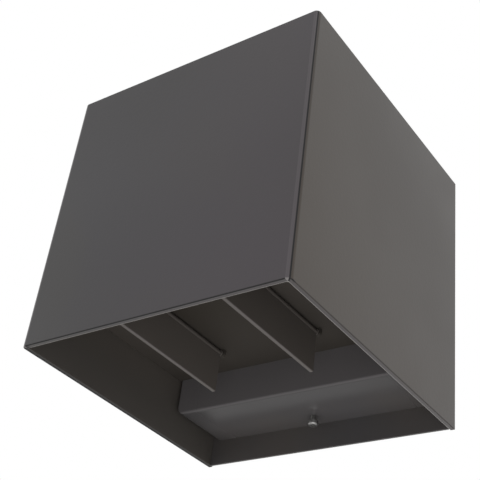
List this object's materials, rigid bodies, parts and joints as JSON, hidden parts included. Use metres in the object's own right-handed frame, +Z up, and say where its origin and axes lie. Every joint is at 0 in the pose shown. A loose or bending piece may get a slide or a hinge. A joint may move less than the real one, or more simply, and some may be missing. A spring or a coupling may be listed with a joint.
{
  "type": "wall light",
  "caption": "Cube-shaped up-and-down wall light with open mouths, hinged beam shutters, a rounded wiring box and a slotted wall bracket.",
  "frame": {"origin": "centre of the face that meets the wall, at the middle of the bracket slots", "axes": "+X to the right for a viewer facing the light, +Y into the wall, +Z up"},
  "size_m": [0.152, 0.153, 0.1534],
  "materials": {
    "bronze_coat": "semi-gloss dark bronze powder coat on aluminium",
    "box_coat": "satin dark bronze powder coat on drawn aluminium",
    "back_coat": "dark bronze powder coat on sheet steel",
    "carrier_coat": "near-black bronze powder coat on aluminium",
    "shutter_coat": "dark bronze powder coat on aluminium strip",
    "bare_aluminium": "mill finish",
    "sink_aluminium": "extruded, sawn and drilled",
    "rivet_aluminium": "bright",
    "gasket_foam": "closed-cell foam",
    "grommet_rubber": "moulded",
    "bush_silicone": "moulded silicone",
    "seal_silicone": "moulded silicone",
    "bracket_zinc": "zinc-plated sheet steel",
    "ground_brass": "green-tinted brass",
    "tinned_ring": "tinned",
    "lead_green": "green insulation",
    "lead_supply": "black insulation",
    "lead_lamp": "white insulation",
    "driver_case": "moulded case filled with potting",
    "terminal_plastic": "moulded",
    "terminal_brass": "nickel-free brass",
    "zinc_screw": "zinc-plated",
    "black_screw": "black oxide",
    "locking_steel": "stainless",
    "pin_steel": "stainless",
    "washer_steel": "spring steel",
    "board_white": "white solder mask on an aluminium board",
    "phosphor": "yellow phosphor",
    "snoot_black": "moulded matt black",
    "lens_glass": "clear tempered"
  },
  "bodies": {
    "lamp": {"back_plate": "back_coat", "back_rivets": "rivet_aluminium", "board_screws_lower": "zinc_screw", "board_screws_upper": "zinc_screw", "carrier_lower": "carrier_coat", "carrier_screws_lower": "black_screw", "carrier_screws_upper": "black_screw", "carrier_upper": "carrier_coat", "chassis_screws": "zinc_screw", "core_screws": "zinc_screw", "driver": "driver_case", "driver_screws": "zinc_screw", "friction_washers_lower": "washer_steel", "friction_washers_upper": "washer_steel", "ground_lead": "lead_green", "ground_screw": "ground_brass", "ground_terminal": "tinned_ring", "heat_sink": "sink_aluminium", "hinge_pin_lower_left": "pin_steel", "hinge_pin_lower_right": "pin_steel", "hinge_pin_upper_left": "pin_steel", "hinge_pin_upper_right": "pin_steel", "housing": "bronze_coat", "housing_lugs": "bare_aluminium", "inlet_grommet": "grommet_rubber", "lamp_lead_lower": "lead_lamp", "lamp_lead_upper": "lead_lamp", "lead_grommets": "bush_silicone", "led_board_lower": "board_white", "led_board_upper": "board_white", "led_chip_lower": "phosphor", "led_chip_upper": "phosphor", "lens_lower": "lens_glass", "lens_seal_lower": "seal_silicone", "lens_seal_upper": "seal_silicone", "lens_upper": "lens_glass", "locking_screw_lower": "locking_steel", "locking_screw_upper": "locking_steel", "snoot_lower": "snoot_black", "snoot_screws_lower": "zinc_screw", "snoot_screws_upper": "zinc_screw", "snoot_upper": "snoot_black", "supply_leads": "lead_supply", "terminal_block": "terminal_plastic", "terminal_screws": "terminal_brass", "wall_bracket": "bracket_zinc", "wall_gasket": "gasket_foam", "wiring_box": "box_coat"},
    "lower_left_shutter": {"shutter_lower_left": "shutter_coat"},
    "lower_right_shutter": {"shutter_lower_right": "shutter_coat"},
    "upper_left_shutter": {"shutter_upper_left": "shutter_coat"},
    "upper_right_shutter": {"shutter_upper_right": "shutter_coat"}
  },
  "joints": [
    {"name": "lower_left_shutter_hinge", "type": "hinge", "parent": "lamp", "child": "lower_left_shutter", "pos_m": [-0.0295, -0.1029, -0.0435], "axis": [0, 1, 0], "range_deg": [-75, 75]},
    {"name": "lower_right_shutter_hinge", "type": "hinge", "parent": "lamp", "child": "lower_right_shutter", "pos_m": [0.0295, -0.1029, -0.0435], "axis": [0, -1, 0], "range_deg": [-75, 75]},
    {"name": "upper_left_shutter_hinge", "type": "hinge", "parent": "lamp", "child": "upper_left_shutter", "pos_m": [-0.0295, -0.1029, 0.0435], "axis": [0, -1, 0], "range_deg": [-75, 75]},
    {"name": "upper_right_shutter_hinge", "type": "hinge", "parent": "lamp", "child": "upper_right_shutter", "pos_m": [0.0295, -0.1029, 0.0435], "axis": [0, 1, 0], "range_deg": [-75, 75]}
  ]
}
